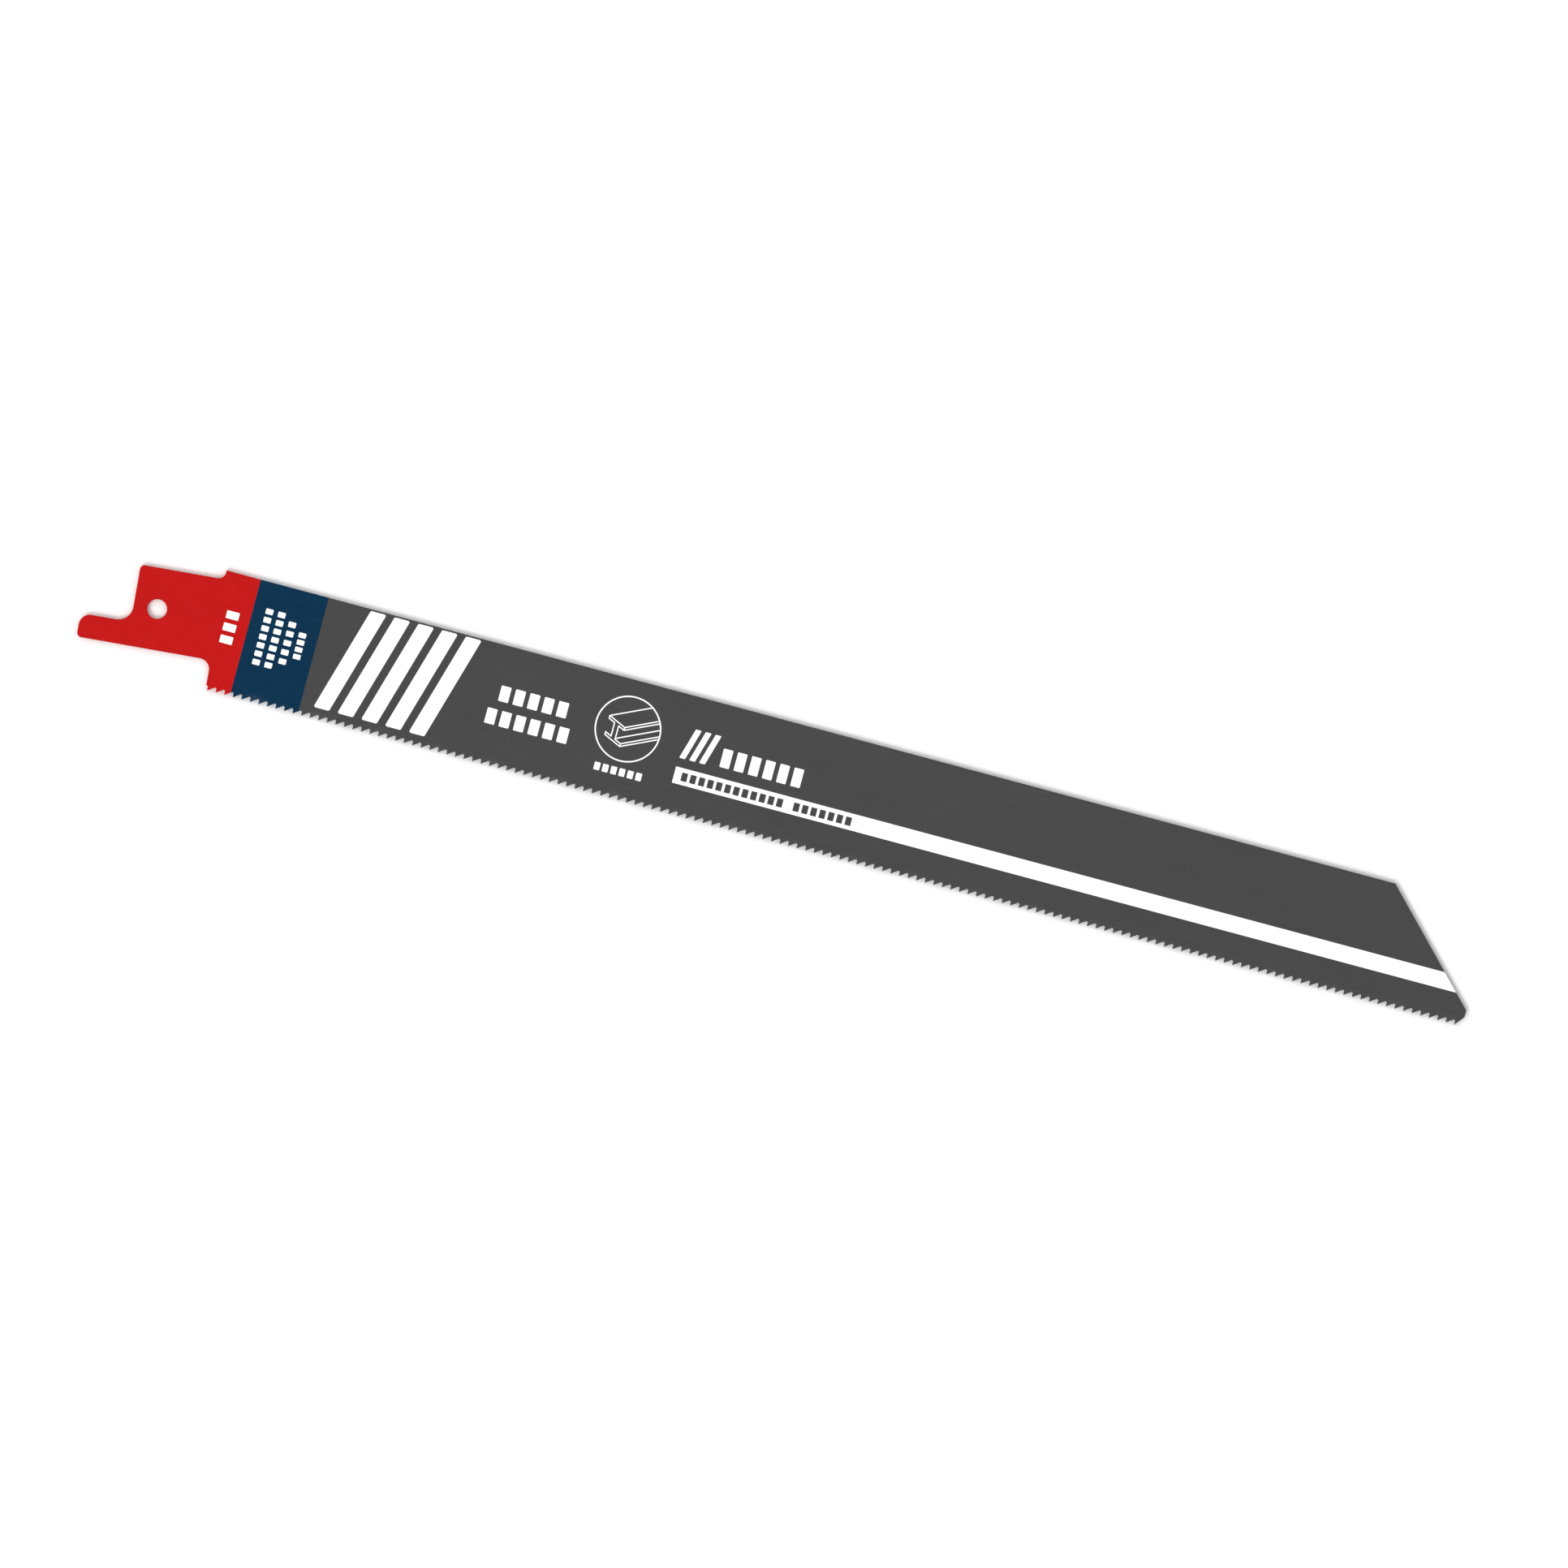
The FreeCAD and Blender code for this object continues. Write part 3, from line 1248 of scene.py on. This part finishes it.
@dataclass(frozen=True)
class BladePrint:
    """All the print; its origin is on the tooth line, below the nose's end."""

    blade: SawBlade
    nose_end: float = -11.4
    bend_margin: float = 0.1
    back_margin: float = 0.3

    def rows(self) -> list[PrintedRow]:
        """Rows of plain blocks and bars along the blade.

        Returns:
            The rows.
        """
        foot = self.blade.bend_top + self.bend_margin
        height = self.blade.width - self.back_margin - foot
        return [
            PrintedRow("shank_blocks", (22.2, 7.95), (2.05, 1.25), (0.0, 1.98), 3),
            PrintedRow("field_blocks_1", (28.1, 5.95), (1.2, 0.88), (0.0, 1.37), 7),
            PrintedRow("field_blocks_2", (30.1, 5.95), (1.2, 0.88), (0.0, 1.37), 7),
            PrintedRow("field_blocks_3", (32.1, 7.1), (1.2, 0.88), (0.0, 1.50), 5),
            PrintedRow("field_blocks_4", (34.1, 8.45), (1.2, 0.80), (0.0, 1.16), 4),
            PrintedRow("slanted_bars", (39.3, foot), (2.55, height), (3.9, 0.0), 5, 16.0, 0.25),
            PrintedRow("middle_blocks_1", (67.25, 10.4), (1.62, 2.5), (2.36, 0.0), 5),
            PrintedRow("middle_blocks_2", (66.0, 6.5), (1.62, 2.5), (2.36, 0.0), 6),
            PrintedRow("lower_blocks", (84.6, 3.85), (0.95, 1.25), (1.36, 0.0), 6),
            PrintedRow("small_bars", (97.3, 9.1), (0.95, 5.0), (1.62, 0.0), 3, 16.0),
            PrintedRow("tall_blocks", (103.8, 9.35), (1.55, 3.0), (2.32, 0.0), 6),
        ]

    def build(self) -> list[Object]:
        """Print everything.

        Returns:
            The printed pieces.
        """
        layer = InkLayer(self.blade.top)
        origin = (self.nose_end, self.blade.tooth_line)
        pieces = [row.build(layer, origin) for row in self.rows()]
        pieces.append(Pictogram().build(layer))
        pieces.append(LongStripe().build(layer, self.blade))
        return pieces


@dataclass(frozen=True)
class Lamp:
    """A soft square lamp, with its power in watts."""

    name: str
    place: Triple
    side: float
    power: float

    def hang(self, aim: Vector) -> None:
        """Put the lamp in its place.

        Args:
            aim: the point that it faces, in metres.
        """
        light = bpy.data.lights.new(self.name, "AREA")
        light.shape = "SQUARE"
        light.size = self.side * MM
        light.energy = self.power
        holder = link(self.name, light)
        holder.location = Vector(self.place) * MM
        holder.rotation_euler = (aim - holder.location).to_track_quat("-Z", "Y").to_euler()


@dataclass
class Studio:
    """Pale floor, soft lights and the camera square over the blade."""

    floor_height: float
    centre: Point = (103.01, -1.07)
    frame_width: float = 248.23
    turn: float = 15.0
    camera_height: float = 2500.0
    sensor: float = 36.0
    clip: Pair = (10.0, 50000.0)
    floor_size: float = 2200.0
    paper: PlainFinish = PlainFinish(
        "floor_paper", (252, 252, 252), (0.985, 1.0), Pattern((900.0,) * 3, 4.0), 0.9, 0.2)
    lamps: Sequence[Lamp] = (
        Lamp("key_panel", (-1000.0, -2200.0, 4000.0), 2000.0, 80.0),
        Lamp("side_panel", (-2300.0, 100.0, 4000.0), 2400.0, 25.5),
        Lamp("back_panel", (1100.0, 2300.0, 3900.0), 2600.0, 10.6),
    )
    sky: Sequence[Pair] = (
        (0.0, 1.0), (0.07, 1.0), (0.13, 0.28), (0.42, 0.28),
        (0.60, 0.95), (0.91, 1.02), (0.96, 0.16), (1.0, 0.08),
    )

    def build(self) -> Object:
        """Set up the whole studio.

        Returns:
            The floor.
        """
        self.make_camera()
        self.make_world()
        aim = Vector((*self.centre, 0.0)) * MM
        for lamp in self.lamps:
            lamp.hang(aim)
        return self.make_floor()

    def make_floor(self) -> Object:
        """Make the paper that the blade lies on.

        Returns:
            The floor.
        """
        half = self.floor_size / 2
        spots = ((-half, -half), (half, -half), (half, half), (-half, half))
        corners = [(*spot, self.floor_height) for spot in spots]
        return mesh_object("studio_floor", corners, [[0, 1, 2, 3]], self.paper.make())

    def make_camera(self) -> None:
        """Make the camera, straight above with a long lens, turned as in the photo."""
        lens = bpy.data.cameras.new("camera")
        lens.sensor_width = self.sensor
        lens.lens = self.sensor * self.camera_height / self.frame_width
        lens.clip_start, lens.clip_end = (limit * MM for limit in self.clip)
        eye = link("camera", lens)
        eye.location = Vector((*self.centre, self.camera_height)) * MM
        eye.rotation_euler = (0.0, 0.0, math.radians(self.turn))
        bpy.context.scene.camera = eye

    def make_world(self) -> None:
        """Soft surroundings: white at the horizon, a bright ring above, dim overhead."""
        world = bpy.data.worlds.new("studio")
        world.use_nodes = True
        bpy.context.scene.world = world
        wiring = Wiring(world.node_tree)
        axes = wiring.add("ShaderNodeSeparateXYZ")
        wiring.feed(axes, Vector=wiring.add("ShaderNodeTexCoord").outputs["Generated"])
        ramp = wiring.add("ShaderNodeValToRGB")
        wiring.feed(ramp, Fac=axes.outputs["Z"])
        stops = ramp.color_ramp.elements
        for height, _ in self.sky[1:-1]:
            stops.new(height)
        for stop, (_, level) in zip(stops, self.sky):
            stop.color = (level, level, level, 1.0)
        wiring.feed(world.node_tree.nodes["Background"], Color=ramp.outputs[0])


def main() -> None:
    """Build the blade, its print and the studio."""
    logging.basicConfig(level=logging.INFO, format="%(name)s: %(message)s")
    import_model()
    solid_box = [[float(c) for c in corner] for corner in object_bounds()]
    bpy.context.scene.view_settings.view_transform = "Standard"

    blade = SawBlade()
    steel = blade.build()
    blade.dress(steel)
    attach(steel, BODY)
    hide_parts("blade")

    print_pieces = BladePrint(blade).build()
    for printed in print_pieces:
        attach(printed, BODY)

    floor = Studio(solid_box[0][2] / MM).build()

    for piece in (steel, *print_pieces, floor):
        LOG.info("%s: %d faces", piece.name, len(piece.data.polygons))


if __name__ == "__main__":
    main()
